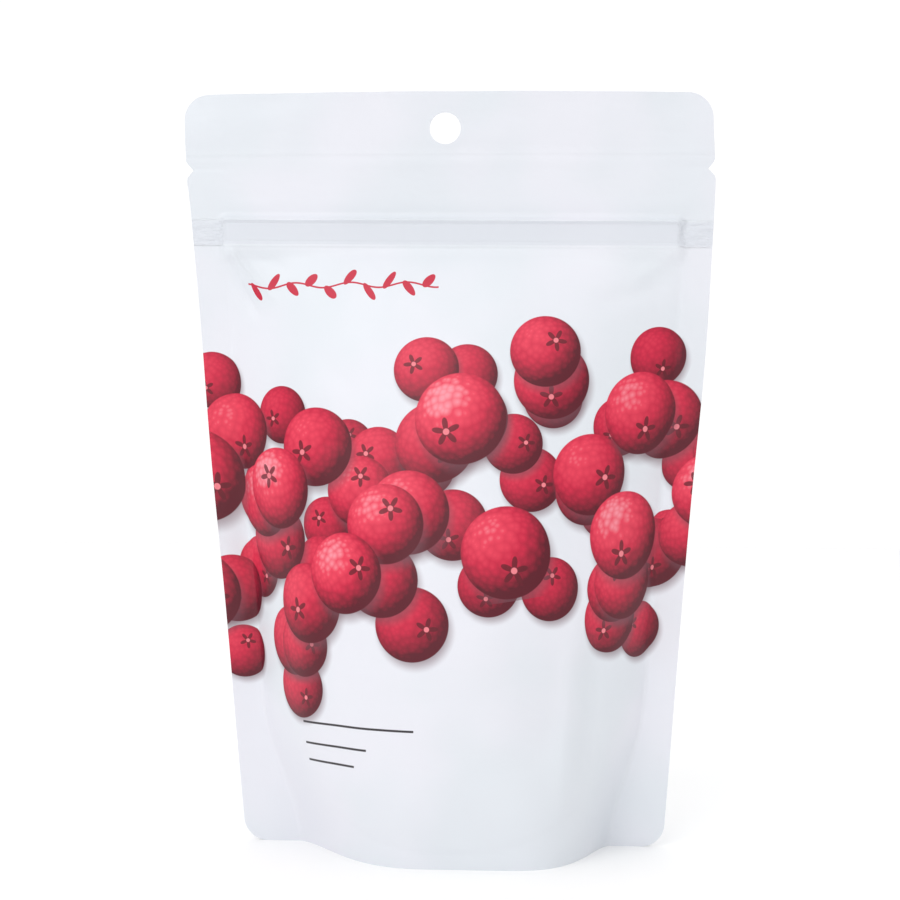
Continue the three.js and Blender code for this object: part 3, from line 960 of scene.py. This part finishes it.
berryLook = {
    "dark": (0.36, 0.008, 0.03),
    "red": (0.62, 0.03, 0.085),
    "dust": (0.78, 0.22, 0.28),
    "rough": 0.72,
}


def berrySkin():
    material, graph = newMaterial("dried_berry_skin")
    place = graph.put("ShaderNodeTexCoord", out=3)
    blush = graph.noise(place, 60)
    dust = graph.noise(place, 900)
    colour = graph.mixColour(blush.step(0.35, 0.65), berryLook["dark"], berryLook["red"])
    colour = graph.mixColour(0.35 * dust.step(0.45, 0.75), colour, berryLook["dust"])
    graph.finish(colour, berryLook["rough"] + 0.2 * dust, dust, 0.4, 0.0002)
    return material


def growBerry(name, tree, skin, index):
    # A berry with drupelets where the plain solid lies, turned as it is.
    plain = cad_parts[name]
    places = (plain.matrix_world @ corner.co for corner in plain.data.vertices)
    corners = np.array(sorted({tuple(round(c, 6) for c in place) for place in places})) / mm
    middle = corners.mean(0)
    hollow = corners[np.argmin(np.linalg.norm(corners - middle, axis=1))]
    axis = Vector(hollow - middle).normalized()
    mesh = bpy.data.meshes.new(name + "_drupelets")
    piece = bpy.data.objects.new("berry_with_drupelets_" + name[-2:], mesh)
    bpy.context.scene.collection.objects.link(piece)
    grow = piece.modifiers.new("grow", "NODES")
    grow.node_group = tree
    sockets = {item.name: item.identifier for item in tree.interface.items_tree if item.in_out == "INPUT"}
    for key, value in {
        "Drupelets": berry["drupelets"], "Drupelet Size": berry["size"], "Girth": berry["girth"],
        "Bottom": berry["bottom"], "Length": berry["length"], "Dent": berry["dent"],
        "Turn": 1.7 * index, "Seed": index, "Material": skin,
    }.items():
        grow[sockets[key]] = value
    piece.data = bpy.data.meshes.new_from_object(piece.evaluated_get(bpy.context.evaluated_depsgraph_get()))
    piece.modifiers.clear()
    turned = axis.to_track_quat("Z", "Y").to_matrix().to_4x4()
    centre = Vector(middle + berry["centre"] * np.array(axis)) * mm
    piece.data.transform(Matrix.Translation(centre) @ turned @ Matrix.Scale(mm, 4))
    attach(piece, "root")
    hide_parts(name)


tree = berryTree()
skin = berrySkin()
for index, name in enumerate(berryNames):
    growBerry(name, tree, skin, index)
print("berries grown,", len(berryNames))

# Camera, light and floor
view = {
    "distance": 0.500,
    "height": 0.108,
    "azimuth": 3.4,
    "roll": -0.26,
    "lens": 75.65,
    "shift": (0.0012, -0.0175),
}

lights = {
    "key": {"at": (-0.42, -0.85, 0.88), "size": 0.9, "watts": 4.1},
    "overhead": {"at": (0, 0.7, 1.5), "size": 1.5, "watts": 3},
}

# How much dimmer the white room is below and beside the pouch
room = {
    "strength": 1.05,
    "left": 0.45,
    "right": 0.38,
    "front": 0.36,
}

camera = bpy.data.objects.new("camera", bpy.data.cameras.new("camera"))
turn = math.radians(view["azimuth"])
camera.location = (view["distance"] * math.sin(turn), -view["distance"] * math.cos(turn), view["height"])
camera.rotation_euler = (math.pi / 2, math.radians(view["roll"]), turn)
camera.data.lens = view["lens"]
camera.data.sensor_width = 36
camera.data.shift_x, camera.data.shift_y = view["shift"]
camera.data.clip_start = 0.01
bpy.context.scene.collection.objects.link(camera)
bpy.context.scene.camera = camera

for name, light in lights.items():
    lamp = bpy.data.lights.new(name, "AREA")
    lamp.size = light["size"]
    lamp.energy = light["watts"]
    lampObject = bpy.data.objects.new(name, lamp)
    lampObject.location = light["at"]
    aim = Vector((0, 0, 0.1)) - lampObject.location
    lampObject.rotation_euler = aim.to_track_quat("-Z", "Y").to_euler()
    bpy.context.scene.collection.objects.link(lampObject)

world = bpy.data.worlds.new("studio")
world.use_nodes = True
sky = Graph(world.node_tree)
sideways, depth, up = sky.parts(sky.put("ShaderNodeTexCoord"))
low = 1.0 - up.step(0.2, 0.7)
toLeft = room["left"] * (-0.06 - sideways).step(0.25, 0.85)
toRight = room["right"] * (sideways + 0.06).step(0.25, 0.85)
toFront = room["front"] * (-depth).step(0.1, 0.8)
roomLight = room["strength"] - low * (toLeft + toRight + toFront)
glow = sky.put("ShaderNodeBackground", {"Color": (1, 1, 1, 1), "Strength": roomLight})
sky.put("ShaderNodeOutputWorld", {"Surface": glow})
bpy.context.scene.world = world
bpy.context.scene.view_settings.view_transform = "Standard"

floorLook = {
    "reach": 1.35,
    "dark": (0.93, 0.93, 0.93),
    "light": (0.96, 0.96, 0.96),
    "rough": 0.8,
}

reach = floorLook["reach"]
floorCorners = [(x * reach, y * reach, 0) for x, y in ((-1, -1), (1, -1), (1, 1), (-1, 1))]
floorMesh = bpy.data.meshes.new("floor")
floorMesh.from_pydata(floorCorners, [], [(0, 1, 2, 3)])
floor = bpy.data.objects.new("floor", floorMesh)
bpy.context.scene.collection.objects.link(floor)
floorMaterial, floorGraph = newMaterial("pale_floor")
floorTone = floorGraph.noise(floorGraph.put("ShaderNodeTexCoord", out=3), 3)
floorColour = floorGraph.mixColour(floorTone, floorLook["dark"], floorLook["light"])
floorGraph.finish(floorColour, floorLook["rough"])
floorMesh.materials.append(floorMaterial)
print("stage set")
